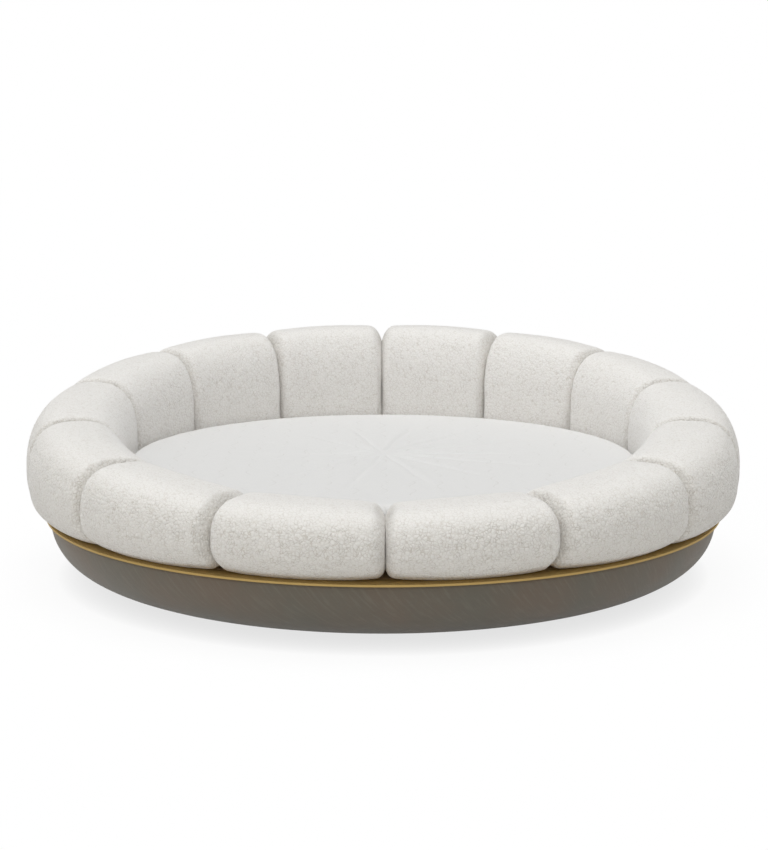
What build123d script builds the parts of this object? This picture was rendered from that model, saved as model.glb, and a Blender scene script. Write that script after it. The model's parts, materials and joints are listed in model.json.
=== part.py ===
from build123d import *
from math import asin, cos, degrees, radians, sin, sqrt
import os

os.makedirs("parts", exist_ok=True)

# A round bed. The floor is z = 0, the axis of the bed is Z and its low front faces -Y.
# Angles round the bed start at the front centre and grow towards +X.

# Bolster ring
segment_count = 14
ring_radius = 1380.0
bolster_depth = 380.0
front_crest_height = 234.0
middle_crest_height = 422.0
back_crest_height = 570.0
inner_tuck = 50.0
outer_tuck = 130.0
corner_radius = 42.0
length_crown = 6.0
seam_gap = 0.8
widest_height_share = 0.41
shoulder_turn = 30.0
shoulder_radius_share = 0.4
corner_start_share = 0.3

# Boards and formers inside the bolsters
board_thickness = 18.0
board_margin = 10.0
board_end_gap = 50.0
former_thickness = 18.0
former_end_gap = 56.0
former_cover = 90.0
former_setback = 100.0
first_former = 4

# Brass plate and deck
trim_inset = 70.0
trim_width = 75.0
trim_thickness = 8.0
deck_setback = 4.0
deck_thickness = 18.0
deck_edge_gap = 2.0
joint_plate_length = 180.0
joint_plate_width = 120.0
joint_plate_thickness = 4.0

# Skirt and its frame
base_height = 240.0
skirt_inset = 17.0
skirt_belly_inset = 5.0
skirt_belly_height = 6.0
skirt_sweep = 393.0
skirt_lift = 2.0
skirt_thickness = 12.0
rib_thickness = 18.0
plinth_width = 75.0
plinth_height = 60.0
glide_width = 50.0
glide_height = 4.0

# Platform and what carries it
platform_edge_gap = 6.0
platform_thickness = 18.0
platform_drop = 50.0
beam_width = 45.0
beam_spacing = 430.0
post_width = 70.0

# Mattress and sheet
mattress_top = 437.0
sheet_thickness = 2.5
support_foam_thickness = 40.0
comfort_foam_thickness = 55.0
mattress_edge_radius = 40.0

# Fits
fit_gap = 0.3

segment_angle = 360.0 / segment_count
section_radius = ring_radius - bolster_depth / 2
well_radius = ring_radius - bolster_depth
seat_inner_radius = well_radius + inner_tuck
seat_outer_radius = ring_radius - outer_tuck
former_radius = seat_inner_radius + former_setback
former_length = 2 * (former_radius * sin(radians(segment_angle / 2)) - former_end_gap)
trim_radius = ring_radius - trim_inset
deck_inner_radius = well_radius + deck_setback
skirt_top_radius = trim_radius - skirt_inset
skirt_foot_radius = skirt_top_radius - skirt_sweep
platform_radius = deck_inner_radius - platform_edge_gap
mattress_radius = platform_radius - sheet_thickness
ring_seat = base_height + trim_thickness
deck_bottom = base_height - deck_thickness
plinth_top = glide_height + plinth_height
platform_height = base_height - platform_drop
platform_bottom = platform_height - platform_thickness


def radial_plane(angle):
    """An upright plane through the bed's axis: its x runs outwards and its y runs up."""
    turn = radians(angle)
    return Plane(origin=(0, 0, 0), x_dir=(sin(turn), -cos(turn), 0), z_dir=(-cos(turn), -sin(turn), 0))


def tangent_plane(angle, radius):
    """An upright plane across the radius: its x runs round the bed and its normal outwards."""
    turn = radians(angle)
    outwards = Vector(sin(turn), -cos(turn), 0)
    return Plane(origin=outwards * radius, x_dir=(cos(turn), sin(turn), 0), z_dir=outwards)


def crest_height(angle):
    """Height of the bolsters above the brass plate, which rises evenly from front to back."""
    forward = cos(radians(angle))
    tilt = (back_crest_height - front_crest_height) / 2
    bow = (back_crest_height + front_crest_height) / 2 - middle_crest_height
    return middle_crest_height - tilt * forward + bow * forward**2


def quarter_arcs(width, height):
    """Radius and turn of the flat, shoulder and side arcs that round off one quarter of a section."""
    flat_turn = (90 - shoulder_turn) * height / (width + height)
    side_turn = 90 - shoulder_turn - flat_turn
    shoulder_radius = shoulder_radius_share * min(width, height)
    flat_sin, flat_cos = sin(radians(flat_turn)), cos(radians(flat_turn))
    side_sin, side_cos = sin(radians(side_turn)), cos(radians(side_turn))
    across = width - shoulder_radius * (side_cos - flat_sin)
    upwards = height - shoulder_radius * (flat_cos - side_sin)
    scale = flat_sin * side_sin - (1 - side_cos) * (1 - flat_cos)
    flat_radius = (across * side_sin - upwards * (1 - side_cos)) / scale
    side_radius = (upwards * flat_sin - across * (1 - flat_cos)) / scale
    return [(flat_radius, flat_turn), (shoulder_radius, shoulder_turn), (side_radius, side_turn)]


def bolster_section(angle, inset):
    """One upright section of a bolster, drawn in all round by the inset."""
    half_depth = bolster_depth / 2 - inset
    drawn_in = half_depth / (bolster_depth / 2)
    crest = crest_height(angle)
    low_height = widest_height_share * crest - inset
    outer_low = quarter_arcs(outer_tuck * drawn_in, low_height)
    inner_low = quarter_arcs(inner_tuck * drawn_in, low_height)
    upper = quarter_arcs(half_depth, crest - inset - widest_height_share * crest)
    arcs = outer_low + upper[::-1] + upper + inner_low[::-1]
    with BuildSketch(radial_plane(angle)) as section:
        with BuildLine():
            start = Vector(section_radius + half_depth - outer_tuck * drawn_in, ring_seat + inset)
            point = start
            heading = Vector(1, 0)
            for arc_radius, arc_turn in arcs:
                arc = JernArc(point, heading, arc_radius, arc_turn)
                point = arc @ 1
                heading = arc % 1
            Line(point, start)
        make_face()
    return section.sketch


def segment_stations(start_angle):
    """Angles and insets of a bolster's sections, from one rounded end to the other."""
    gap_angle = degrees(seam_gap / 2 / section_radius)
    corner_angle = degrees(corner_radius / section_radius)
    corner_drop = corner_radius - sqrt(corner_radius**2 - (corner_radius * (1 - corner_start_share)) ** 2)
    end_stations = [
        (gap_angle, length_crown + corner_radius),
        (gap_angle + corner_start_share * corner_angle, length_crown + corner_drop),
        (gap_angle + corner_angle, length_crown),
    ]
    rising = [(start_angle + offset, inset) for offset, inset in end_stations]
    falling = [(start_angle + segment_angle - offset, inset) for offset, inset in end_stations]
    return rising + [(start_angle + segment_angle / 2, 0)] + falling[::-1]


def ring_section(inner, outer, bottom, top):
    """A rectangle in the current radial plane, given by its radii and heights."""
    with Locations(((inner + outer) / 2, (bottom + top) / 2)):
        Rectangle(outer - inner, top - bottom)


def board_block(start_angle, clearance):
    """The space of a bolster's board, grown by a clearance at its edges."""
    end_angle = degrees((board_end_gap - clearance) / section_radius)
    with BuildSketch(radial_plane(start_angle + end_angle)) as block:
        ring_section(
            seat_inner_radius + board_margin - clearance,
            seat_outer_radius - board_margin + clearance,
            ring_seat,
            ring_seat + board_thickness,
        )
    return block.sketch


def board_span(clearance):
    """How far round the bed a board reaches."""
    return segment_angle - 2 * degrees((board_end_gap - clearance) / section_radius)


def former_outline(middle_angle, clearance):
    """Upright outline of a former, whose sloping top follows the crest above it."""
    half_length = former_length / 2
    end_angle = degrees(asin(half_length / former_radius))
    foot = ring_seat + board_thickness
    left_top = ring_seat + crest_height(middle_angle - end_angle) - former_cover
    right_top = ring_seat + crest_height(middle_angle + end_angle) - former_cover
    with BuildSketch(tangent_plane(middle_angle, former_radius)) as outline:
        with BuildLine():
            Polyline(
                (-half_length - clearance, foot),
                (half_length + clearance, foot),
                (half_length + clearance, right_top + clearance),
                (-half_length - clearance, left_top + clearance),
                close=True,
            )
        make_face()
    return outline.sketch


has_former = range(first_former - 1, segment_count - first_former + 1)

# Bolsters: foam and cover over a board, with a slot for the former in the tall ones.
for segment in range(segment_count):
    start_angle = segment * segment_angle
    middle_angle = start_angle + segment_angle / 2
    number = f"{segment + 1:02d}"

    with BuildPart() as bolster:
        loft([bolster_section(angle, inset) for angle, inset in segment_stations(start_angle)], ruled=True)
        revolve(board_block(start_angle, fit_gap), Axis.Z, board_span(fit_gap), mode=Mode.SUBTRACT)
        if segment in has_former:
            slot_reach = former_thickness / 2 + fit_gap
            extrude(former_outline(middle_angle, fit_gap), amount=slot_reach, both=True, mode=Mode.SUBTRACT)
    bolster.part.label = f"bolster_{number}"
    export_step(bolster.part, f"parts/bolster_{number}.step")

    with BuildPart() as board:
        revolve(board_block(start_angle, 0), Axis.Z, board_span(0))
    board.part.label = f"bolster_board_{number}"
    export_step(board.part, f"parts/bolster_board_{number}.step")

    if segment in has_former:
        with BuildPart() as former:
            extrude(former_outline(middle_angle, 0), amount=former_thickness / 2, both=True)
        former.part.label = f"bolster_former_{number}"
        export_step(former.part, f"parts/bolster_former_{number}.step")

# Brass plate: a flat ring whose edge shows below the bolsters.
with BuildPart() as trim_ring:
    with BuildSketch(Plane.XY.offset(base_height)):
        Circle(trim_radius)
        Circle(trim_radius - trim_width, mode=Mode.SUBTRACT)
    extrude(amount=trim_thickness)
    chamfer(trim_ring.edges().filter_by(GeomType.CIRCLE).sort_by(SortBy.RADIUS)[-2:], length=trim_thickness / 8)
trim_ring.part.label = "trim_ring"
export_step(trim_ring.part, "parts/trim_ring.step")

# Deck: two half rings, rebated at the rim so that the brass plate lies flush.
rebate_radius = trim_radius - trim_width - fit_gap
deck_outer_radius = skirt_top_radius - skirt_thickness - deck_edge_gap
for side, start_angle in (("right", 0), ("left", 180)):
    with BuildPart() as deck:
        with BuildSketch(radial_plane(start_angle)):
            ring_section(deck_inner_radius, rebate_radius, deck_bottom, ring_seat)
            ring_section(deck_inner_radius, deck_outer_radius, deck_bottom, base_height)
        revolve(axis=Axis.Z, revolution_arc=180)
    deck.part.label = f"deck_{side}"
    export_step(deck.part, f"parts/deck_{side}.step")

# Joint plates: steel straps under the two joints of the deck.
joint_radius = (deck_inner_radius + deck_outer_radius) / 2
with BuildPart() as deck_joint_plates:
    with BuildSketch(Plane.XY.offset(deck_bottom - joint_plate_thickness)):
        with Locations((0, joint_radius), (0, -joint_radius)):
            Rectangle(joint_plate_length, joint_plate_width)
    extrude(amount=joint_plate_thickness)
deck_joint_plates.part.label = "deck_joint_plates"
export_step(deck_joint_plates.part, "parts/deck_joint_plates.step")


def skirt_curve(inset):
    """The bowl's profile, moved inwards by an inset: upright at the rim and flat at the floor."""
    return Bezier(
        (skirt_top_radius - inset, base_height),
        (skirt_top_radius - skirt_belly_inset - inset, skirt_belly_height + inset),
        (skirt_foot_radius, skirt_lift + inset),
    )


# Skirt: padded cloth over bent plywood, as one bowl-shaped shell.
with BuildPart() as base_skirt:
    with BuildSketch(radial_plane(0)):
        with BuildLine():
            outer_face = skirt_curve(0)
            inner_face = skirt_curve(skirt_thickness)
            Line(outer_face @ 0, inner_face @ 0)
            Line(outer_face @ 1, inner_face @ 1)
        make_face()
    revolve(axis=Axis.Z)
base_skirt.part.label = "base_skirt"
export_step(base_skirt.part, "parts/base_skirt.step")

# Ribs: upright plates that follow the skirt, stand on the plinth and carry deck and platform.
plinth_outer_radius = skirt_foot_radius - fit_gap
plinth_inner_radius = plinth_outer_radius - plinth_width
plinth_middle_radius = plinth_outer_radius - plinth_width / 2
shelf_radius = platform_radius + fit_gap
with BuildPart() as base_ribs:
    for segment in range(segment_count):
        with BuildSketch(radial_plane((segment + 0.5) * segment_angle)):
            with BuildLine():
                Polyline(
                    (plinth_middle_radius, plinth_top),
                    (skirt_foot_radius, plinth_top),
                    (skirt_foot_radius, 0),
                    (skirt_top_radius, 0),
                    (skirt_top_radius, deck_bottom),
                    (shelf_radius, deck_bottom),
                    (shelf_radius, platform_bottom),
                    (plinth_middle_radius, platform_bottom),
                    close=True,
                )
            make_face()
        extrude(amount=rib_thickness / 2, both=True)
    with BuildSketch(radial_plane(0)):
        with BuildLine():
            seat_curve = skirt_curve(skirt_thickness + fit_gap)
            Polyline(seat_curve @ 0, (0, base_height), (0, skirt_lift), (skirt_foot_radius, skirt_lift), seat_curve @ 1)
        make_face()
    revolve(axis=Axis.Z, mode=Mode.INTERSECT)
base_ribs.part.label = "base_ribs"
export_step(base_ribs.part, "parts/base_ribs.step")

# Plinth: a timber ring that stands on the glides.
with BuildPart() as plinth_ring:
    with BuildSketch(Plane.XY.offset(glide_height)):
        Circle(plinth_outer_radius)
        Circle(plinth_inner_radius, mode=Mode.SUBTRACT)
    extrude(amount=plinth_height)
plinth_ring.part.label = "plinth_ring"
export_step(plinth_ring.part, "parts/plinth_ring.step")

# Platform: two half discs on the ribs and beams.
for side, start_angle in (("right", 0), ("left", 180)):
    with BuildPart() as platform:
        with BuildSketch(radial_plane(start_angle)):
            ring_section(0, platform_radius, platform_bottom, platform_height)
        revolve(axis=Axis.Z, revolution_arc=180)
    platform.part.label = f"platform_{side}"
    export_step(platform.part, f"parts/platform_{side}.step")

# Beams rest on the inner half of the plinth at both ends and on a post halfway.
beam_places = {"centre": 0, "side_left": -beam_spacing, "side_right": beam_spacing}
beam_names = {"centre": "centre_beam", "side_left": "side_beam_left", "side_right": "side_beam_right"}
post_names = {"centre": "centre_post", "side_left": "side_post_left", "side_right": "side_post_right"}
for place, beam_x in beam_places.items():
    half_beam = sqrt((plinth_middle_radius - fit_gap) ** 2 - (abs(beam_x) + beam_width / 2) ** 2)

    with BuildPart() as beam:
        with BuildSketch(Plane.XY.offset(plinth_top)):
            with Locations((beam_x, 0)):
                Rectangle(beam_width, 2 * half_beam)
        extrude(amount=platform_bottom - plinth_top)
    beam.part.label = beam_names[place]
    export_step(beam.part, f"parts/{beam_names[place]}.step")

    with BuildPart() as post:
        with BuildSketch(Plane.XY.offset(glide_height)):
            with Locations((beam_x, 0)):
                Rectangle(post_width, post_width)
        extrude(amount=plinth_height)
    post.part.label = post_names[place]
    export_step(post.part, f"parts/{post_names[place]}.step")

# Glides: square felt pads under the plinth and the posts.
with BuildPart() as floor_glides:
    with BuildSketch():
        with PolarLocations(plinth_middle_radius, segment_count):
            Rectangle(glide_width, glide_width)
        with Locations(*[(beam_x, 0) for beam_x in beam_places.values()]):
            Rectangle(glide_width, glide_width)
    extrude(amount=glide_height)
floor_glides.part.label = "floor_glides"
export_step(floor_glides.part, "parts/floor_glides.step")

# Mattress: support foam, spring core and comfort foam, one on the other.
sheet_bottom = platform_height + fit_gap
mattress_bottom = sheet_bottom
comfort_top = mattress_top - sheet_thickness
comfort_bottom = comfort_top - comfort_foam_thickness
core_bottom = mattress_bottom + support_foam_thickness

with BuildPart() as support_foam:
    with BuildSketch(Plane.XY.offset(mattress_bottom)):
        Circle(mattress_radius)
    extrude(amount=support_foam_thickness)
support_foam.part.label = "mattress_support_foam"
export_step(support_foam.part, "parts/mattress_support_foam.step")

with BuildPart() as spring_core:
    with BuildSketch(Plane.XY.offset(core_bottom)):
        Circle(mattress_radius)
    extrude(amount=comfort_bottom - core_bottom)
spring_core.part.label = "mattress_spring_core"
export_step(spring_core.part, "parts/mattress_spring_core.step")

with BuildPart() as comfort_foam:
    with BuildSketch(Plane.XY.offset(comfort_bottom)):
        Circle(mattress_radius)
    extrude(amount=comfort_foam_thickness)
    fillet(comfort_foam.edges().group_by(Axis.Z)[-1], radius=mattress_edge_radius)
comfort_foam.part.label = "mattress_comfort_foam"
export_step(comfort_foam.part, "parts/mattress_comfort_foam.step")

# Fitted sheet: a cup-shaped shell over the mattress's top and sides.
with BuildPart() as fitted_sheet:
    with BuildSketch(Plane.XY.offset(sheet_bottom)):
        Circle(mattress_radius + sheet_thickness)
    extrude(amount=mattress_top - sheet_bottom)
    fillet(fitted_sheet.edges().group_by(Axis.Z)[-1], radius=mattress_edge_radius + sheet_thickness)
    offset(amount=-sheet_thickness, openings=fitted_sheet.faces().sort_by(Axis.Z)[0])
fitted_sheet.part.label = "fitted_sheet"
export_step(fitted_sheet.part, "parts/fitted_sheet.step")
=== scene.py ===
import json
from math import atan2, cos, exp, hypot, pi, radians, sin, tan

import bmesh
import bpy
import numpy
from mathutils import Euler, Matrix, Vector, noise


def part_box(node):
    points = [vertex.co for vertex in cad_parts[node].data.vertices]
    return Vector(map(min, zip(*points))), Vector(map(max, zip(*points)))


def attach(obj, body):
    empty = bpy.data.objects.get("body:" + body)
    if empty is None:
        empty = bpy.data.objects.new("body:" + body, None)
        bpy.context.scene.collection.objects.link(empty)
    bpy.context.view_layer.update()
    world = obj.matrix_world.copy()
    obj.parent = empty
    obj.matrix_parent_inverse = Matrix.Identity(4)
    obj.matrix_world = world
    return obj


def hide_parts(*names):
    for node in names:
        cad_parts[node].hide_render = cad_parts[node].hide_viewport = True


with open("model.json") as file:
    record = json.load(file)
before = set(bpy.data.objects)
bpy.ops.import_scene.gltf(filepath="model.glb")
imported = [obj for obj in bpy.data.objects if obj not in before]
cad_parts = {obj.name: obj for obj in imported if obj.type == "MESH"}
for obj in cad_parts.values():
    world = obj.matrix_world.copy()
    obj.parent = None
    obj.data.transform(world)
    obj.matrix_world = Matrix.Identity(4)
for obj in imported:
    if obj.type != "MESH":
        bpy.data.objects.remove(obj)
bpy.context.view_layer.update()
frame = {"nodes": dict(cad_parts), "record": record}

# The bed stands on z = 0 round the Z axis, and its low front faces -Y.
# Angles start at the front centre and grow towards +X. Lengths are in metres.
mm = 0.001
segment_count = 14
segment_angle = 2 * pi / segment_count
ring_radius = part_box("bolster_04")[1].x
ring_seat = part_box("trim_ring")[1].z
bolster_depth = 380 * mm
section_radius = ring_radius - bolster_depth / 2
well_radius = ring_radius - bolster_depth
front_crest = 239 * mm
middle_crest = 419 * mm
back_crest = 575 * mm
inner_tuck = 50 * mm
side_tuck = 76 * mm
front_tuck = 112 * mm
widest_height_share = 0.41
seam_gap = 0.4 * mm
image_width = 768
image_height = 850


def srgb(text):
    """A colour written as sRGB hex, as the linear values that a shader takes."""
    parts = [int(text[i:i + 2], 16) / 255 for i in (0, 2, 4)]
    return tuple(p / 12.92 if p <= 0.04045 else ((p + 0.055) / 1.055) ** 2.4 for p in parts) + (1.0,)


def finish_mesh(name, mesh, body, material):
    """Puts a finished mesh into the scene as a piece on a body."""
    piece = bpy.data.objects.new(name, mesh)
    bpy.context.scene.collection.objects.link(piece)
    mesh.materials.append(material)
    mesh.polygons.foreach_set("use_smooth", [True] * len(mesh.polygons))
    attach(piece, body)
    return piece


# Camera, at the photograph's viewing angle
focal_pixels = 1736.7
camera_distance = 6.812
camera_pitch = radians(9.41)
aim_height = 0.5514
aim_pixel_x = 383.2
camera_turn = radians(0.32)

camera_data = bpy.data.cameras.new("camera")
camera_data.sensor_width = 36
camera_data.lens = focal_pixels * camera_data.sensor_width / image_height
camera_data.shift_x = (image_width / 2 - aim_pixel_x) / image_height
camera = bpy.data.objects.new("camera", camera_data)
camera_reach = camera_distance * cos(camera_pitch)
camera.location = (-camera_reach * sin(camera_turn), -camera_reach * cos(camera_turn),
                   aim_height + camera_distance * sin(camera_pitch))
camera.rotation_euler = (pi / 2 - camera_pitch, 0, -camera_turn)
bpy.context.scene.collection.objects.link(camera)
bpy.context.scene.camera = camera


# Light: a soft sky, a broad cool light from above, and weaker ones from the left and the front
def soft_sun(name, strength, spread, tilt, turn, colour=(1, 1, 1)):
    data = bpy.data.lights.new(name, "SUN")
    data.color = colour
    data.energy = strength * pi
    data.angle = radians(spread)
    lamp = bpy.data.objects.new(name, data)
    lamp.rotation_euler = Euler((radians(tilt), 0, radians(turn)))
    bpy.context.scene.collection.objects.link(lamp)


soft_sun("top_light", 0.53, 45, 4, 0, (0.975, 0.99, 1.0))
soft_sun("left_light", 0.16, 60, 68, -62)
soft_sun("front_light", 0.13, 60, 72, 0)

bpy.context.scene.view_settings.view_transform = "Standard"
world = bpy.data.worlds.new("studio")
bpy.context.scene.world = world
world.use_nodes = True


def add_node(tree, kind, inputs=None, **settings):
    """Adds a node with its settings; an input is a value or the socket that feeds it."""
    made = tree.nodes.new(kind)
    for name, value in settings.items():
        setattr(made, name, value)
    for name, value in (inputs or {}).items():
        if isinstance(value, bpy.types.NodeSocket):
            tree.links.new(value, made.inputs[name])
        else:
            made.inputs[name].default_value = value
    return made


sky_strength = 0.38
sky_level_share = 1 / 3


def light_world():
    """A soft sky that brightens overhead, behind a backdrop that is seen as plain white."""
    tree = world.node_tree
    tree.nodes.clear()
    path = add_node(tree, "ShaderNodeLightPath")
    seen = add_node(tree, "ShaderNodeMath",
                    {0: path.outputs["Is Camera Ray"], 1: path.outputs["Is Glossy Ray"]}, operation="MAXIMUM")
    seen = add_node(tree, "ShaderNodeMath", {0: seen.outputs[0], 1: path.outputs["Is Transmission Ray"]},
                    operation="MAXIMUM")
    direction = add_node(tree, "ShaderNodeTexCoord").outputs["Generated"]
    parts = add_node(tree, "ShaderNodeSeparateXYZ", {0: direction})
    strength = add_node(tree, "ShaderNodeMath", {0: parts.outputs["Z"], 1: sky_strength,
                                                 2: sky_strength * sky_level_share},
                        operation="MULTIPLY_ADD")
    sky = add_node(tree, "ShaderNodeBackground", {"Color": (1, 1, 1, 1), "Strength": strength.outputs[0]})
    backdrop = add_node(tree, "ShaderNodeBackground", {"Color": (1, 1, 1, 1), "Strength": 1.0})
    mixed = add_node(tree, "ShaderNodeMixShader",
                     {0: seen.outputs[0], 1: sky.outputs[0], 2: backdrop.outputs[0]})
    add_node(tree, "ShaderNodeOutputWorld", {"Surface": mixed.outputs[0]})


light_world()


def new_material(name):
    material = bpy.data.materials.new(name)
    material.use_nodes = True
    tree = material.node_tree
    tree.nodes.clear()
    return material, tree


def close_material(tree, shader):
    add_node(tree, "ShaderNodeOutputMaterial", {"Surface": shader.outputs[0]})


# Boucle, a looped wool yarn cloth: matte off-white curls packed like pebbles, each with a soft dome and a
# warmer, darker line of painted shade where it meets the next. The loops on the curls only soften the light.
# On top and inside the ring, where it is sat against and stroked, the curls lie flatter; there the colour is
# painted paler as painted light and the painted shade lines are weaker, and the outer sides that face
# sideways are painted darker as painted shade.
curl_size = 12 * mm
curl_drift = 1.3 * curl_size
loop_size = 5 * mm
shade_size = 160 * mm
boucle_bump = 3 * mm


def boucle_wool():
    material, tree = new_material("boucle_wool")
    place = add_node(tree, "ShaderNodeTexCoord").outputs["Object"]
    drift = add_node(tree, "ShaderNodeTexNoise",
                     {"Vector": place, "Scale": 1 / (1.5 * curl_size), "Detail": 3.0})
    drift = add_node(tree, "ShaderNodeVectorMath", {0: drift.outputs["Color"], 1: (0.5, 0.5, 0.5)},
                     operation="SUBTRACT")
    drift = add_node(tree, "ShaderNodeVectorMath", {0: drift.outputs[0], "Scale": curl_drift},
                     operation="SCALE")
    bent = add_node(tree, "ShaderNodeVectorMath", {0: place, 1: drift.outputs[0]}, operation="ADD").outputs[0]
    curls = add_node(tree, "ShaderNodeTexVoronoi",
                     {"Vector": bent, "Scale": 1 / curl_size, "Smoothness": 0.3}, feature="SMOOTH_F1")
    edges = add_node(tree, "ShaderNodeTexVoronoi", {"Vector": bent, "Scale": 1 / curl_size},
                     feature="DISTANCE_TO_EDGE")
    loops = add_node(tree, "ShaderNodeTexNoise", {"Vector": place, "Scale": 1 / loop_size, "Detail": 3.0,
                                                  "Roughness": 0.6})
    patch = add_node(tree, "ShaderNodeTexNoise", {"Vector": place, "Scale": 1 / shade_size, "Detail": 3.0})
    gather = add_node(tree, "ShaderNodeTexNoise",
                      {"Vector": place, "Scale": 1 / (1.6 * curl_size), "Detail": 2.0})
    parts = add_node(tree, "ShaderNodeSeparateXYZ", {0: place})
    flat = add_node(tree, "ShaderNodeCombineXYZ", {0: parts.outputs["X"], 1: parts.outputs["Y"]})
    radius = add_node(tree, "ShaderNodeVectorMath", {0: flat.outputs[0]}, operation="LENGTH").outputs["Value"]
    # Painted light and shade: the outer sides that face sideways take the darker tone, the tops and the inner
    # wall the paler one
    outside = add_node(tree, "ShaderNodeMapRange", {"Value": radius, "From Min": well_radius,
                                                    "From Max": section_radius},
                       interpolation_type="SMOOTHSTEP")
    # Faces that turn upwards are painted paler, as painted light from above
    facing = add_node(tree, "ShaderNodeNewGeometry").outputs["Normal"]
    rise = add_node(tree, "ShaderNodeSeparateXYZ", {0: facing}).outputs["Z"]
    upright = add_node(tree, "ShaderNodeMapRange", {"Value": rise, "From Min": 0.45, "From Max": 1.0,
                                                    "To Min": 1.0, "To Max": 0.4},
                       interpolation_type="SMOOTHSTEP")
    outside = add_node(tree, "ShaderNodeMath", {0: outside.outputs[0], 1: upright.outputs[0]},
                       operation="MULTIPLY")
    raised = add_node(tree, "ShaderNodeMapRange",
                      {"Value": outside.outputs[0], "To Min": 0.75, "To Max": 1.0})
    sideways_share = add_node(tree, "ShaderNodeMapRange",
                         {"Value": upright.outputs[0], "To Min": 0.5, "To Max": 1.0})
    raised = add_node(tree, "ShaderNodeMath", {0: raised.outputs[0], 1: sideways_share.outputs[0]},
                      operation="MULTIPLY")
    # Painted shade in the lines where the curls meet, weaker on top and inside the ring
    gap = add_node(tree, "ShaderNodeMapRange", {"Value": edges.outputs["Distance"], "From Min": 0.0,
                                                "From Max": 0.12, "To Min": 1.0, "To Max": 0.0},
                   interpolation_type="SMOOTHSTEP")
    deep = add_node(tree, "ShaderNodeMapRange", {"Value": gather.outputs[0], "From Min": 0.4, "From Max": 0.6,
                                                 "To Min": 0.45, "To Max": 1.0})
    gap = add_node(tree, "ShaderNodeMath", {0: gap.outputs[0], 1: deep.outputs[0]}, operation="MULTIPLY")
    gap = add_node(tree, "ShaderNodeMath", {0: gap.outputs[0], 1: raised.outputs[0]}, operation="MULTIPLY")
    dome = add_node(tree, "ShaderNodeMath", {0: curls.outputs["Distance"], 1: -1.0, 2: 1.0},
                    operation="MULTIPLY_ADD")
    height = add_node(tree, "ShaderNodeMath", {0: loops.outputs[0], 1: 0.45, 2: dome.outputs[0]},
                      operation="MULTIPLY_ADD")
    height = add_node(tree, "ShaderNodeMath", {0: gap.outputs[0], 1: -0.35, 2: height.outputs[0]},
                      operation="MULTIPLY_ADD")
    height = add_node(tree, "ShaderNodeMath", {0: height.outputs[0], 1: raised.outputs[0]},
                      operation="MULTIPLY")
    # The paler tone is painted light, the darker one painted shade
    painted_light_tone = add_node(tree, "ShaderNodeMix",
                    {"Factor": patch.outputs[0], "A": srgb("F4F2EE"), "B": srgb("F1EEEA")}, data_type="RGBA")
    shade = add_node(tree, "ShaderNodeMix",
                     {"Factor": patch.outputs[0], "A": srgb("E8E5E0"), "B": srgb("E4E1DB")}, data_type="RGBA")
    shade = add_node(tree, "ShaderNodeMix", {"Factor": outside.outputs[0], "A": painted_light_tone.outputs["Result"],
                                             "B": shade.outputs["Result"]}, data_type="RGBA")
    # The line colour is painted shade
    line = add_node(tree, "ShaderNodeMath", {0: gap.outputs[0], 1: 0.6}, operation="MULTIPLY")
    shade = add_node(tree, "ShaderNodeMix", {"Factor": line.outputs[0], "A": shade.outputs["Result"],
                                             "B": srgb("BDB3A6")}, data_type="RGBA")
    bump = add_node(tree, "ShaderNodeBump",
                    {"Height": height.outputs[0], "Distance": boucle_bump, "Strength": 1.0})
    wool = add_node(tree, "ShaderNodeBsdfPrincipled", {
        "Base Color": shade.outputs["Result"], "Normal": bump.outputs[0], "Roughness": 0.95,
        "Specular IOR Level": 0.2, "Sheen Weight": 0.45, "Sheen Roughness": 0.5})
    close_material(tree, wool)
    return material


# Brushed suede: a short dense nap in taupe, with paler strokes where it was stroked the other way and a
# soft bright rim where the cloth turns away. Its UV map holds metres round and up the skirt.
drift_size = 260 * mm
stroke_length = 90 * mm
stroke_width = 9 * mm
nap_size = 5 * mm
nap_height = 0.4 * mm
stroke_turn = radians(38)


def taupe_suede():
    material, tree = new_material("taupe_suede")
    surface = add_node(tree, "ShaderNodeTexCoord").outputs["UV"]
    drift = add_node(tree, "ShaderNodeTexNoise", {"Vector": surface, "Scale": 1 / drift_size, "Detail": 4.0,
                                                  "Roughness": 0.6})
    turned = add_node(tree, "ShaderNodeMapping", {"Vector": surface, "Rotation": (0, 0, stroke_turn)})
    pulled = add_node(tree, "ShaderNodeMapping", {"Vector": turned.outputs[0],
                                                  "Scale": (1 / stroke_length, 1 / stroke_width, 1)})
    strokes = add_node(tree, "ShaderNodeTexNoise", {"Vector": pulled.outputs[0], "Scale": 1.0, "Detail": 4.0,
                                                    "Roughness": 0.6})
    nap = add_node(tree, "ShaderNodeTexNoise", {"Vector": surface, "Scale": 1 / nap_size, "Detail": 3.0})
    tone = add_node(tree, "ShaderNodeMapRange",
                    {"Value": drift.outputs[0], "From Min": 0.35, "From Max": 0.65})
    colour = add_node(tree, "ShaderNodeMix",
                      {"Factor": tone.outputs[0], "A": srgb("69655B"), "B": srgb("6F6458")}, data_type="RGBA")
    brushed = add_node(tree, "ShaderNodeMapRange",
                       {"Value": strokes.outputs[0], "From Min": 0.5, "From Max": 0.8, "To Max": 0.45})
    colour = add_node(tree, "ShaderNodeMix", {"Factor": brushed.outputs[0], "A": colour.outputs["Result"],
                                              "B": srgb("817D72")}, data_type="RGBA")
    bump = add_node(tree, "ShaderNodeBump",
                    {"Height": nap.outputs[0], "Distance": nap_height, "Strength": 1.0})
    cloth = add_node(tree, "ShaderNodeBsdfPrincipled", {
        "Base Color": colour.outputs["Result"], "Normal": bump.outputs[0], "Roughness": 0.85,
        "Specular IOR Level": 0.2, "Sheen Weight": 0.35, "Sheen Roughness": 0.5})
    close_material(tree, cloth)
    return material


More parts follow.
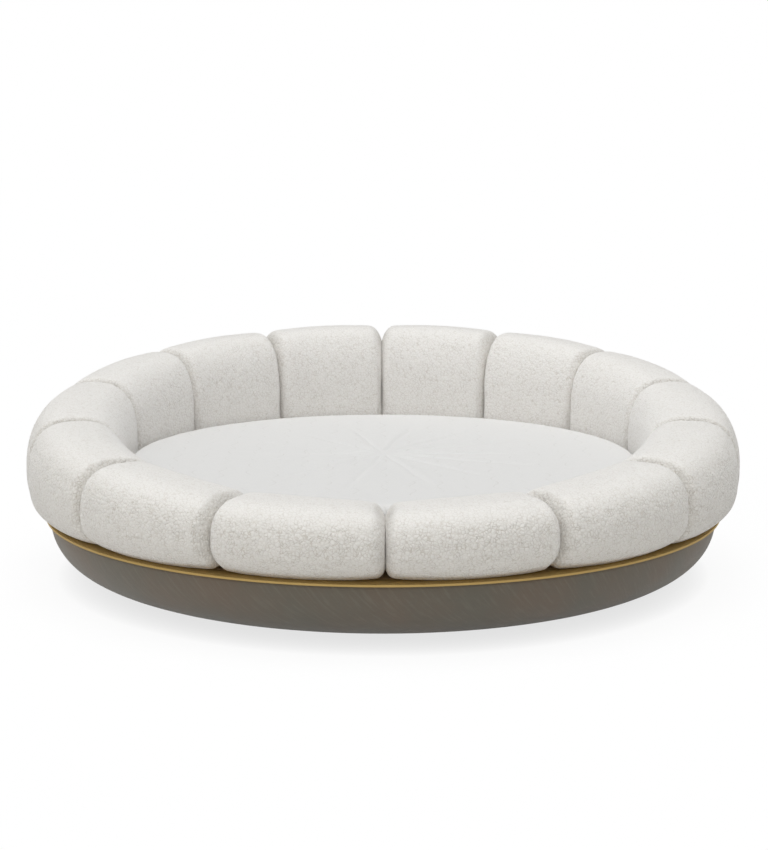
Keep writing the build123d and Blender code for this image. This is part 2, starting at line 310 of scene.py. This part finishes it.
# Quilted cotton: pale, matte percale, stitched in wavy lines that run from the front to the back.
quilt_pitch = 100 * mm
quilt_wave_length = 140 * mm
quilt_wave_reach = 11 * mm
stitch_width = 7 * mm
stitch_break_size = 60 * mm
weave_size = 6 * mm
weave_height = 0.2 * mm


def sheet_cotton():
    material, tree = new_material("sheet_cotton")
    place = add_node(tree, "ShaderNodeTexCoord").outputs["Object"]
    parts = add_node(tree, "ShaderNodeSeparateXYZ", {0: place})
    wave = add_node(tree, "ShaderNodeMath", {0: parts.outputs["Y"], 1: 2 * pi / quilt_wave_length},
                    operation="MULTIPLY")
    wave = add_node(tree, "ShaderNodeMath", {0: wave.outputs[0]}, operation="SINE")
    across = add_node(tree, "ShaderNodeMath",
                      {0: wave.outputs[0], 1: quilt_wave_reach, 2: parts.outputs["X"]},
                      operation="MULTIPLY_ADD")
    across = add_node(tree, "ShaderNodeMath", {0: across.outputs[0], 1: quilt_pitch / 2},
                      operation="PINGPONG")
    stitch = add_node(tree, "ShaderNodeMapRange",
                      {"Value": across.outputs[0], "From Min": 0.0, "From Max": stitch_width / 2,
                       "To Min": 1.0, "To Max": 0.0}, interpolation_type="SMOOTHSTEP")
    broken = add_node(tree, "ShaderNodeTexNoise",
                      {"Vector": place, "Scale": 1 / stitch_break_size, "Detail": 2.0})
    broken = add_node(tree, "ShaderNodeMapRange",
                      {"Value": broken.outputs[0], "From Min": 0.45, "From Max": 0.6})
    stitch = add_node(tree, "ShaderNodeMath", {0: stitch.outputs[0], 1: broken.outputs[0]},
                      operation="MULTIPLY")
    weave = add_node(tree, "ShaderNodeTexNoise", {"Vector": place, "Scale": 1 / weave_size, "Detail": 2.0})
    tone = add_node(tree, "ShaderNodeMapRange", {"Value": weave.outputs[0], "From Min": 0.3, "From Max": 0.7})
    colour = add_node(tree, "ShaderNodeMix",
                      {"Factor": tone.outputs[0], "A": srgb("DBDAD8"), "B": srgb("DFDEDC")}, data_type="RGBA")
    faded = add_node(tree, "ShaderNodeMath", {0: stitch.outputs[0], 1: 0.35}, operation="MULTIPLY")
    colour = add_node(tree, "ShaderNodeMix", {"Factor": faded.outputs[0], "A": colour.outputs["Result"],
                                              "B": srgb("C3C1BC")}, data_type="RGBA")
    height = add_node(tree, "ShaderNodeMath", {0: stitch.outputs[0], 1: -3.0, 2: weave.outputs[0]},
                      operation="MULTIPLY_ADD")
    bump = add_node(tree, "ShaderNodeBump",
                    {"Height": height.outputs[0], "Distance": weave_height, "Strength": 1.0})
    cloth = add_node(tree, "ShaderNodeBsdfPrincipled", {
        "Base Color": colour.outputs["Result"], "Normal": bump.outputs[0], "Roughness": 0.9,
        "Specular IOR Level": 0.25, "Sheen Weight": 0.1})
    close_material(tree, cloth)
    return material


# Bronzed brass plate, turned and lacquered: golden olive, with faint lines that run round the rim. Real
# turning lines are finer than 1 mm and are drawn 4 mm apart so that they show.
turning_pitch = 4 * mm
film_size = 120 * mm


def brushed_brass():
    material, tree = new_material("brushed_brass")
    place = add_node(tree, "ShaderNodeTexCoord").outputs["Object"]
    parts = add_node(tree, "ShaderNodeSeparateXYZ", {0: place})
    flat = add_node(tree, "ShaderNodeCombineXYZ", {0: parts.outputs["X"], 1: parts.outputs["Y"]})
    radius = add_node(tree, "ShaderNodeVectorMath", {0: flat.outputs[0]}, operation="LENGTH").outputs["Value"]
    rounds = add_node(tree, "ShaderNodeCombineXYZ", {0: radius, 1: parts.outputs["Z"]})
    lines = add_node(tree, "ShaderNodeTexNoise", {"Vector": rounds.outputs[0], "Scale": 1 / turning_pitch,
                                                  "Detail": 2.0})
    film = add_node(tree, "ShaderNodeTexNoise", {"Vector": place, "Scale": 1 / film_size, "Detail": 2.0})
    colour = add_node(tree, "ShaderNodeMix",
                      {"Factor": film.outputs[0], "A": srgb("B89F68"), "B": srgb("AE945E")}, data_type="RGBA")
    rough = add_node(tree, "ShaderNodeMapRange", {"Value": lines.outputs[0], "To Min": 0.6, "To Max": 0.75})
    metal = add_node(tree, "ShaderNodeBsdfPrincipled", {
        "Base Color": colour.outputs["Result"], "Metallic": 1.0, "Roughness": rough.outputs[0]})
    close_material(tree, metal)
    return material


# Birch plywood and spruce timber, sawn, sanded and left bare: pale and matte, with streaks of grain that run
# from the front to the back
grain_stretch = 0.08
grain_height = 0.2 * mm


def plain_wood(name, light, dark, grain_width):
    material, tree = new_material(name)
    place = add_node(tree, "ShaderNodeTexCoord").outputs["Object"]
    stretched = add_node(tree, "ShaderNodeMapping", {"Vector": place, "Scale": (1, grain_stretch, 1)})
    grain = add_node(tree, "ShaderNodeTexNoise", {"Vector": stretched.outputs[0], "Scale": 1 / grain_width,
                                                  "Detail": 5.0, "Roughness": 0.6})
    colour = add_node(tree, "ShaderNodeMix", {"Factor": grain.outputs[0], "A": srgb(light), "B": srgb(dark)},
                      data_type="RGBA")
    bump = add_node(tree, "ShaderNodeBump",
                    {"Height": grain.outputs[0], "Distance": grain_height, "Strength": 1.0})
    wood = add_node(tree, "ShaderNodeBsdfPrincipled", {"Base Color": colour.outputs["Result"],
                                                       "Normal": bump.outputs[0], "Roughness": 0.6})
    close_material(tree, wood)
    return material


# Zinc-plated steel, pressed felt, mattress foam and spunbond cloth: even surfaces, each with specks of its
# spangle, hair, cell or fibre size in two near tones
speck_height = 0.3 * mm


def speckled(name, first, second, grain, roughness, metallic=0.0):
    material, tree = new_material(name)
    place = add_node(tree, "ShaderNodeTexCoord").outputs["Object"]
    cells = add_node(tree, "ShaderNodeTexNoise", {"Vector": place, "Scale": 1 / grain, "Detail": 3.0})
    colour = add_node(tree, "ShaderNodeMix",
                      {"Factor": cells.outputs[0], "A": srgb(first), "B": srgb(second)}, data_type="RGBA")
    bump = add_node(tree, "ShaderNodeBump",
                    {"Height": cells.outputs[0], "Distance": speck_height, "Strength": 1.0})
    surface = add_node(tree, "ShaderNodeBsdfPrincipled", {"Base Color": colour.outputs["Result"],
                                                          "Normal": bump.outputs[0], "Roughness": roughness,
                                                          "Metallic": metallic})
    close_material(tree, surface)
    return material


finishes = {
    "boucle": boucle_wool(),
    "suede": taupe_suede(),
    "sheet_cotton": sheet_cotton(),
    "brass": brushed_brass(),
    "plywood": plain_wood("birch_plywood", "D9BE94", "C29F70", grain_width=8 * mm),
    "softwood": plain_wood("spruce_timber", "DFC08D", "BE9560", grain_width=14 * mm),
    "plate_steel": speckled("zinc_plated_steel", "B9BCBE", "9DA1A4", grain=9 * mm, roughness=0.4,
                            metallic=1.0),
    "felt": speckled("pressed_felt", "3A3836", "2B2A28", grain=2 * mm, roughness=0.95),
    "foam": speckled("mattress_foam", "EFE6C6", "E2D6B0", grain=3 * mm, roughness=0.9),
    "spring_cloth": speckled("spunbond_cloth", "E4E3DF", "D2D1CC", grain=4 * mm, roughness=0.9),
}
for entry in frame["record"]["subparts"]:
    shown = frame["nodes"][entry["node"]]
    for place in shown.material_slots:
        place.material = finishes[entry["material_slot"]]
    if not shown.material_slots:
        shown.data.materials.append(finishes[entry["material_slot"]])


# Bolsters: one closed cover each, a ring's fourteenth long, with ends that round into a groove at the seams
corner_length_front = 44 * mm
corner_length_side = 30 * mm
corner_length_back = 58 * mm
corner_length_wall = 30 * mm
groove_depth = 95 * mm
groove_depth_wall = 66 * mm
share_below_length = 0.6
share_below_depth = 0.33
length_crown = 9 * mm
# Keeps the points in the middle of an end apart, because the cloth solver moves nothing on a mesh that has
# edges of no length
end_spread = 0.25
pile_room = 2 * mm
upper_power = 2.7
inner_lower_power = 3.0
side_seat_slope = radians(21)
front_seat_slope = radians(32)
side_fullness = 0.85
front_fullness = 0.65
cube_cuts = 49
outline_steps = 24
puff_frames = 20
puff_limit = 4 * mm
puff_smoothing = 40
seat_grip = 4 * mm
padding_size = 110 * mm
padding_rise = 3 * mm
clump_size = 32 * mm
clump_rise = 0.7 * mm
tiny = 1e-6


def crest_height(angle):
    forward = cos(angle)
    tilt = (back_crest - front_crest) / 2
    bow = (back_crest + front_crest) / 2 - middle_crest
    return middle_crest - tilt * forward + bow * forward**2


def measured(points):
    """A line of points with the length from its start to each of them."""
    lengths = [0.0]
    for start, end in zip(points, points[1:]):
        lengths.append(lengths[-1] + hypot(end[0] - start[0], end[1] - start[1]))
    return points, lengths


def quadrant(half, tuck, height, power):
    """A quarter of the section from its widest place to its middle, which it reaches level."""
    points = []
    for step in range(outline_steps + 1):
        turn = pi / 2 * step / outline_steps
        points.append((half - tuck * (1 - cos(turn) ** (2 / power)), height * sin(turn) ** (2 / power)))
    if tuck < half:
        points.append((0.0, height))
    return measured(points)


def seated_quadrant(half, tuck, height, slope, fullness):
    """The same for a quarter that comes down on the seat at a slope and is flat from there."""
    corner = height - tuck * tan(slope)
    hold = (half, fullness * corner)
    land = (half - tuck * (1 - fullness), corner + (height - corner) * (1 - fullness))
    ends = (half, 0.0), (half - tuck, height)
    points = []
    for step in range(outline_steps + 1):
        t = step / outline_steps
        points.append(tuple((1 - t) ** 3 * a + 3 * (1 - t) ** 2 * t * b + 3 * (1 - t) * t**2 * c + t**3 * d
                            for a, b, c, d in zip(ends[0], hold, land, ends[1])))
    return measured(points + [(0.0, height)])


def along(points, lengths, share):
    """The place at a share of the way along a line of points."""
    wanted = share * lengths[-1]
    for index in range(1, len(points)):
        if lengths[index] >= wanted:
            break
    span = lengths[index] - lengths[index - 1]
    part = (wanted - lengths[index - 1]) / span if span else 0.0
    start, end = points[index - 1], points[index]
    return start[0] + (end[0] - start[0]) * part, start[1] + (end[1] - start[1]) * part


def section_parts(angle):
    crest = crest_height(angle)
    low = widest_height_share * crest
    half = bolster_depth / 2 - pile_room
    front = max(0.0, cos(angle))
    outer_tuck = side_tuck + (front_tuck - side_tuck) * front
    slope = side_seat_slope + (front_seat_slope - side_seat_slope) * front
    fullness = side_fullness + (front_fullness - side_fullness) * front
    return {
        "middle": (crest - 2 * low) / 2,
        "widest": ring_seat + low,
        "upper": quadrant(half, half, crest - low, upper_power),
        "outer": seated_quadrant(half, outer_tuck, low, slope, fullness),
        "inner": quadrant(half, inner_tuck, low, inner_lower_power),
    }


def outline_point(parts, across, up):
    """The section's outline in the direction of a point of a square's rim."""
    if abs(across) >= abs(up):
        share = abs(up / across) / 2
    else:
        share = 1 - abs(across / up) / 2
    if up >= 0:
        x, z = along(*parts["upper"], share)
    else:
        x, z = along(*parts["outer" if across > 0 else "inner"], share)
        z = -z
    return (x if across > 0 else -x), z


def smooth(share):
    """A share held between 0 and 1, with soft ends."""
    share = min(1.0, max(0.0, share))
    return share * share * (3 - 2 * share)


def corner_at(forward, across, up):
    """
    How long and how deep the rounding of an end is: wide and deep above and outside, tight on the wall beside
    the mattress and at the seat.
    """
    furthest = corner_length_front if forward > 0 else corner_length_back
    wide = corner_length_side + (furthest - corner_length_side) * forward**2
    from_wall = smooth((abs(atan2(up, -across)) - pi / 8) / (pi / 4))
    above = smooth(1 + up / hypot(across, up))
    length = corner_length_wall + (wide - corner_length_wall) * from_wall
    depth = groove_depth_wall + (groove_depth - groove_depth_wall) * from_wall
    length *= share_below_length + (1 - share_below_length) * above
    depth *= share_below_depth + (1 - share_below_depth) * above
    return length, depth


def bolster_mesh(number):
    """A cube cut into a grid, whose sides are laid on the section and whose ends close over the cushion."""
    middle = (number - 1) * segment_angle + segment_angle / 2
    forward = cos(middle)
    half_length = section_radius * segment_angle / 2 - seam_gap / 2
    bm = bmesh.new()
    bmesh.ops.create_cube(bm, size=2.0)
    bmesh.ops.subdivide_edges(bm, edges=bm.edges[:], cuts=cube_cuts, use_grid_fill=True)
    known = {}
    for vert in bm.verts:
        u, v, w = vert.co
        across, rim = -v, max(abs(v), abs(w))
        if rim < tiny:
            across, rim = tiny, tiny
        corner, depth = corner_at(forward, across, w)
        straight = half_length - corner
        on_end = rim <= 1 - tiny
        if on_end:
            distance = half_length
        else:
            travel = abs(u) * (straight + corner * pi / 4)
            turn = max(0.0, (travel - straight) / corner)
            distance = straight + corner * sin(turn) if turn else travel
            inset = depth * (1 - cos(turn))
        angle = middle + (distance if u > 0 else -distance) / section_radius
        key = round(angle, 5)
        if key not in known:
            known[key] = section_parts(angle)
        parts = known[key]
        x, z = outline_point(parts, across / rim, w / rim)
        z -= parts["middle"]
        reach = hypot(x, z)
        if on_end:
            travel = (1 - rim) * (depth * pi / 4 + reach - depth)
            if travel < depth * pi / 4:
                turn = pi / 4 + travel / depth
                distance = straight + corner * sin(turn)
                inset = depth * (1 - cos(turn))
            else:
                inset = depth + travel - depth * pi / 4
            angle = middle + (distance if u > 0 else -distance) / section_radius
        inset += length_crown * (distance / half_length) ** 2
        shrink = max(end_spread * rim, 1 - inset / reach)
        radius = section_radius + x * shrink
        height = parts["widest"] + parts["middle"] + z * shrink
        vert.co = (radius * sin(angle), -radius * cos(angle), height)
    mesh = bpy.data.meshes.new(f"bolster_{number:02d}_cover")
    bm.to_mesh(mesh)
    bm.free()
    return mesh


def puff(covers):
    """Blows the covers up from inside for a moment, and keeps no more of it than a firm cushion shows."""
    for cover in covers:
        seat = cover.vertex_groups.new(name="seat")
        seat.add([v.index for v in cover.data.vertices if v.co.z < ring_seat + seat_grip], 1.0, "REPLACE")
        cloth = cover.modifiers.new("puff", "CLOTH")
        cloth.settings.quality = 4
        cloth.settings.mass = 0.25
        cloth.settings.tension_stiffness = 20
        cloth.settings.compression_stiffness = 20
        cloth.settings.shear_stiffness = 10
        cloth.settings.bending_stiffness = 6
        cloth.settings.use_pressure = True
        cloth.settings.uniform_pressure_force = 4
        cloth.settings.effector_weights.gravity = 0
        cloth.settings.vertex_group_mass = "seat"
        cloth.point_cache.frame_end = puff_frames
    for step in range(1, puff_frames + 1):
        bpy.context.scene.frame_set(step)
    graph = bpy.context.evaluated_depsgraph_get()
    for cover in covers:
        swollen = cover.evaluated_get(graph).data
        before = numpy.empty(len(cover.data.vertices) * 3)
        after = numpy.empty(len(cover.data.vertices) * 3)
        cover.data.vertices.foreach_get("co", before)
        swollen.vertices.foreach_get("co", after)
        move = (after - before).reshape(-1, 3)
        length = numpy.linalg.norm(move, axis=1, keepdims=True)
        move *= numpy.minimum(1.0, puff_limit / numpy.maximum(length, 1e-9))
        ends = numpy.empty(len(cover.data.edges) * 2, dtype=numpy.int32)
        cover.data.edges.foreach_get("vertices", ends)
        ends = numpy.concatenate((ends.reshape(-1, 2), ends.reshape(-1, 2)[:, ::-1]))
        count = numpy.bincount(ends[:, 0], minlength=len(move)).reshape(-1, 1)
        for turn in range(puff_smoothing):
            near = [numpy.bincount(ends[:, 0], move[ends[:, 1], axis], len(move)) for axis in range(3)]
            around = numpy.stack(near, axis=1)
            move = (move + around / count) / 2
        cover.modifiers.clear()
        cover.vertex_groups.clear()
        cover.data.vertices.foreach_set("co", before + move.reshape(-1))
        cover.data.update()
    bpy.context.scene.frame_set(1)


def pile_texture(name, basis, size):
    texture = bpy.data.textures.new(name, "CLOUDS")
    texture.noise_basis = basis
    texture.noise_scale = size
    texture.noise_depth = 1
    return texture


def finish_cover(cover, number, textures):
    """Rounds the cover, raises its pile, and keeps it off its neighbours, its seat and the mattress."""
    smoother = cover.modifiers.new("round", "SUBSURF")
    smoother.levels = smoother.render_levels = 1
    for texture, strength in textures:
        raised = cover.modifiers.new(texture.name, "DISPLACE")
        raised.texture = texture
        raised.texture_coords = "LOCAL"
        raised.strength = strength
        raised.mid_level = 0.5
    graph = bpy.context.evaluated_depsgraph_get()
    mesh = bpy.data.meshes.new_from_object(cover.evaluated_get(graph))
    points = numpy.empty(len(mesh.vertices) * 3)
    mesh.vertices.foreach_get("co", points)
    points = points.reshape(-1, 3)
    radius = numpy.hypot(points[:, 0], points[:, 1])
    angle = numpy.arctan2(points[:, 0], -points[:, 1])
    middle = (number - 0.5) * segment_angle
    away = (angle - middle + pi) % (2 * pi) - pi
    limit = segment_angle / 2 - seam_gap / 2 / radius
    away = numpy.clip(away, -limit, limit)
    radius = numpy.maximum(radius, well_radius)
    points[:, 0] = radius * numpy.sin(middle + away)
    points[:, 1] = -radius * numpy.cos(middle + away)
    points[:, 2] = numpy.maximum(points[:, 2], ring_seat)
    mesh.vertices.foreach_set("co", points.reshape(-1))
    cover.modifiers.clear()
    old = cover.data
    cover.data = mesh
    bpy.data.meshes.remove(old)
    mesh.polygons.foreach_set("use_smooth", [True] * len(mesh.polygons))
    mesh.update()


covers = []
for number in range(1, segment_count + 1):
    cover = finish_mesh(f"bolster_{number:02d}_cover", bolster_mesh(number), "frame",
                        finishes["boucle"])
    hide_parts(f"bolster_{number:02d}")
    covers.append(cover)
puff(covers)
pile = [(pile_texture("padding", "IMPROVED_PERLIN", padding_size), padding_rise),
        (pile_texture("clumps", "IMPROVED_PERLIN", clump_size), clump_rise)]
for number, cover in enumerate(covers, 1):
    finish_cover(cover, number, pile)


def spun(profile, steps, closed=False):
    """A form made by turning a line of (radius, height) points round the bed's axis."""
    bm = bmesh.new()
    verts = [bm.verts.new((radius, 0, height)) for radius, height in profile]
    edges = [bm.edges.new(pair) for pair in zip(verts, verts[1:])]
    if closed:
        edges.append(bm.edges.new((verts[-1], verts[0])))
    bmesh.ops.spin(bm, geom=verts + edges, cent=(0, 0, 0), axis=(0, 0, 1), angle=2 * pi, steps=steps,
                   use_merge=True)
    bmesh.ops.remove_doubles(bm, verts=bm.verts[:], dist=tiny)
    bmesh.ops.recalc_face_normals(bm, faces=bm.faces[:])
    return bm


def keep_mesh(bm, name):
    mesh = bpy.data.meshes.new(name)
    bm.to_mesh(mesh)
    bm.free()
    return mesh


def arc(centre, radius, start, end, steps):
    """Points of an arc in the (radius, height) plane, with its angles in quarter turns from outwards."""
    turns = [(start + (end - start) * step / steps) * pi / 2 for step in range(steps + 1)]
    return [(centre[0] + radius * cos(turn), centre[1] + radius * sin(turn)) for turn in turns]


def straight_run(start, end, steps):
    """Points along a straight line, without its ends."""
    return [(start[0] + (end[0] - start[0]) * step / steps, start[1] + (end[1] - start[1]) * step / steps)
            for step in range(1, steps)]


# Skirt: padded cloth drawn over the bowl
skirt_low, skirt_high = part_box("base_skirt")
skirt_foot_radius = 900 * mm
skirt_belly_inset = 5 * mm
skirt_belly_height = 4 * mm
skirt_wall = 12 * mm
skirt_steps = 288
skirt_held_band = 30 * mm
skirt_dimple = 1.2 * mm
skirt_dimples_a_metre = 6


def skirt_curve(inset, count):
    """The bowl's profile from its foot to its rim, moved inwards by an inset."""
    foot = (skirt_foot_radius, skirt_low.z + inset)
    belly = (skirt_high.x - skirt_belly_inset - inset, skirt_low.z + skirt_belly_height + inset)
    rim = (skirt_high.x - inset, skirt_high.z)
    points = []
    for step in range(count + 1):
        t = step / count
        points.append(tuple((1 - t) ** 2 * a + 2 * t * (1 - t) * b + t**2 * c
                            for a, b, c in zip(foot, belly, rim)))
    return points


def skirt_mesh():
    bm = spun(skirt_curve(0, 32) + skirt_curve(skirt_wall, 16)[::-1], skirt_steps, closed=True)
    for vert in bm.verts:
        radius = hypot(vert.co.x, vert.co.y)
        from_rim = min(1.0, (skirt_high.z - vert.co.z) / skirt_held_band)
        give = from_rim * min(1.0, (vert.co.z - skirt_low.z) / skirt_held_band)
        ease = 1 - skirt_dimple * give * (0.5 + 0.5 * noise.noise(vert.co * skirt_dimples_a_metre)) / radius
        vert.co.x *= ease
        vert.co.y *= ease
    surface = bm.loops.layers.uv.new("surface")
    for face in bm.faces:
        centre = face.calc_center_median()
        middle = atan2(centre.x, -centre.y)
        for loop in face.loops:
            spot = loop.vert.co
            radius = hypot(spot.x, spot.y)
            away = (atan2(spot.x, -spot.y) - middle + pi) % (2 * pi) - pi
            loop[surface].uv = ((middle + away) * skirt_high.x, hypot(radius - skirt_foot_radius, spot.z))
    return keep_mesh(bm, "skirt_cover")


skirt = finish_mesh("skirt_cover", skirt_mesh(), "frame", finishes["suede"])
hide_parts("base_skirt")


# Mattress: two foams with eased edges round a spring core in its cloth, each a little inside the sheet
mattress_give = 0.5 * mm
mattress_top_band = 1 * mm
mattress_steps = 240
mattress_dips_a_metre = 4


def layer_mesh(name, low, high, radius, top_round, bottom_round, sag):
    """A round layer with eased edges whose side pulls in by a sag at mid height."""
    side_low, side_high = low + bottom_round, high - top_round
    side = [(radius - sag * sin(pi * step / 8), side_low + (side_high - side_low) * step / 8)
            for step in range(1, 8)]
    profile = [(0.0, low)] + straight_run((0.0, low), (radius - bottom_round, low), 16)
    profile += arc((radius - bottom_round, side_low), bottom_round, -1, 0, 6)
    profile += side
    profile += arc((radius - top_round, side_high), top_round, 0, 1, 8)
    profile += straight_run((radius - top_round, high), (0.0, high), 16) + [(0.0, high)]
    bm = spun(profile, mattress_steps)
    for vert in bm.verts:
        rim = smooth((hypot(vert.co.x, vert.co.y) - radius + 4 * top_round) / (2 * top_round))
        if vert.co.z > high - mattress_top_band:
            vert.co.z -= (1 - rim) * mattress_give * (1 + noise.noise(vert.co * mattress_dips_a_metre))
    return keep_mesh(bm, name)


for node, top_round, bottom_round, sag in (
        ("mattress_support_foam", 6 * mm, 14 * mm, 1 * mm),
        ("mattress_spring_core", 12 * mm, 12 * mm, 4 * mm),
        ("mattress_comfort_foam", 40 * mm, 6 * mm, 0.5 * mm)):
    low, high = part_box(node)
    slot = next(entry["material_slot"] for entry in frame["record"]["subparts"] if entry["node"] == node)
    mesh = layer_mesh(node + "_layer", low.z, high.z, high.x - mattress_give, top_round, bottom_round, sag)
    layer = finish_mesh(node + "_layer", mesh, "mattress", finishes[slot])
    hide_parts(node)


# Sheet: fitted over the mattress, quilted, with creases that run out from its middle
sheet_low, sheet_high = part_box("fitted_sheet")
sheet_radius = sheet_high.x - 0.5 * mm
sheet_edge_radius = 42.5 * mm
sheet_wall = 1.5 * mm
sheet_steps = 420
sheet_rings = 84
sheet_loft = 3 * mm
quilt_rise = 0.8 * mm
cloth_waver = 0.8 * mm
wavers_a_metre = 5
crease_depth = 4 * mm
crease_ridge = 2 * mm
crease_width = 11 * mm
ridge_offset = 2.2 * crease_width
ridge_width = 1.5 * crease_width
crease_wander = 6 * mm
crease_turn_share = 0.16
crease_length_share = 0.3
crease_start = 90 * mm
crease_end = 700 * mm
crease_fade = 350 * mm


def sheet_lift(x, y):
    """How far the cloth stands above the mattress: its loft, its quilting and its creases."""
    radius = hypot(x, y)
    turn = atan2(x, -y)
    across = (x + quilt_wave_reach * sin(2 * pi * y / quilt_wave_length)) / quilt_pitch
    lift = sheet_loft + quilt_rise * (abs(sin(pi * across)) ** 0.7 - 1)
    lift += cloth_waver * noise.noise(Vector((x, y, 0)) * wavers_a_metre)
    for crease in range(segment_count):
        wander = noise.noise(Vector((crease * 7.3, 1.7, 0)))
        lay = (crease + 0.5 + crease_turn_share * wander) * segment_angle
        away = (turn - lay + pi) % (2 * pi) - pi
        if abs(away) > pi / 4:
            continue
        sway = noise.noise(Vector((radius * wavers_a_metre, crease * 3.1, 0)))
        aside = radius * sin(away) + crease_wander * sway
        end = crease_end * (1 + crease_length_share * wander)
        fade = smooth(radius / crease_start) * smooth((end - radius) / crease_fade)
        lift -= crease_depth * fade * exp(-((aside / crease_width) ** 2))
        lift += crease_ridge * fade * exp(-(((aside - ridge_offset) / ridge_width) ** 2))
    return lift


def sheet_mesh():
    flat_reach = sheet_radius - sheet_edge_radius
    side_top = sheet_high.z - sheet_edge_radius
    middle = (0.0, sheet_high.z)
    hem = (sheet_radius, sheet_low.z)
    profile = [middle] + straight_run(middle, (flat_reach, sheet_high.z), sheet_rings)
    profile += arc((flat_reach, side_top), sheet_edge_radius, 1, 0, 8)
    profile += straight_run((sheet_radius, side_top), hem, 8) + [hem]
    bm = spun(profile, sheet_steps)
    for vert in bm.verts:
        over = smooth((vert.co.z - side_top) / sheet_edge_radius)
        vert.co.z += over * sheet_lift(vert.co.x, vert.co.y)
    bmesh.ops.solidify(bm, geom=bm.faces[:], thickness=sheet_wall)
    return keep_mesh(bm, "sheet")


sheet = finish_mesh("sheet", sheet_mesh(), "mattress", finishes["sheet_cotton"])
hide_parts("fitted_sheet")


# Floor: most of its white is its own glow, so that the shadow stays light, and close to the base an ambient
# occlusion darkens that glow as painted shadow
floor_reach = 60
floor_whiteness = 0.93
painted_shadow_reach = 100 * mm
painted_shadow_share = 0.2


def studio_floor():
    material, tree = new_material("white_floor")
    path = add_node(tree, "ShaderNodeLightPath")
    seen = add_node(tree, "ShaderNodeMath",
                    {0: path.outputs["Is Camera Ray"], 1: path.outputs["Is Glossy Ray"]}, operation="MAXIMUM")
    colour = add_node(tree, "ShaderNodeMix",
                      {"Factor": seen.outputs[0], "A": (0.85, 0.84, 0.82, 1), "B": (1, 1, 1, 1)},
                      data_type="RGBA")
    paint = add_node(tree, "ShaderNodeBsdfDiffuse", {"Color": colour.outputs["Result"]})
    # Painted shadow: an ambient occlusion darkens the floor's glow close to the base
    close = add_node(tree, "ShaderNodeAmbientOcclusion", {"Distance": painted_shadow_reach}, samples=8)
    level = add_node(tree, "ShaderNodeMath", {0: close.outputs["AO"], 1: painted_shadow_share, 2: 1 - painted_shadow_share},
                     operation="MULTIPLY_ADD")
    white = add_node(tree, "ShaderNodeEmission", {"Color": (1, 1, 1, 1), "Strength": level.outputs[0]})
    share = add_node(tree, "ShaderNodeMath", {0: seen.outputs[0], 1: floor_whiteness}, operation="MULTIPLY")
    paint = add_node(tree, "ShaderNodeMixShader",
                     {0: share.outputs[0], 1: paint.outputs[0], 2: white.outputs[0]})
    close_material(tree, paint)
    bm = bmesh.new()
    bmesh.ops.create_grid(bm, x_segments=1, y_segments=1, size=floor_reach)
    mesh = bpy.data.meshes.new("floor")
    bm.to_mesh(mesh)
    bm.free()
    floor = bpy.data.objects.new("floor", mesh)
    bpy.context.scene.collection.objects.link(floor)
    mesh.materials.append(material)


studio_floor()
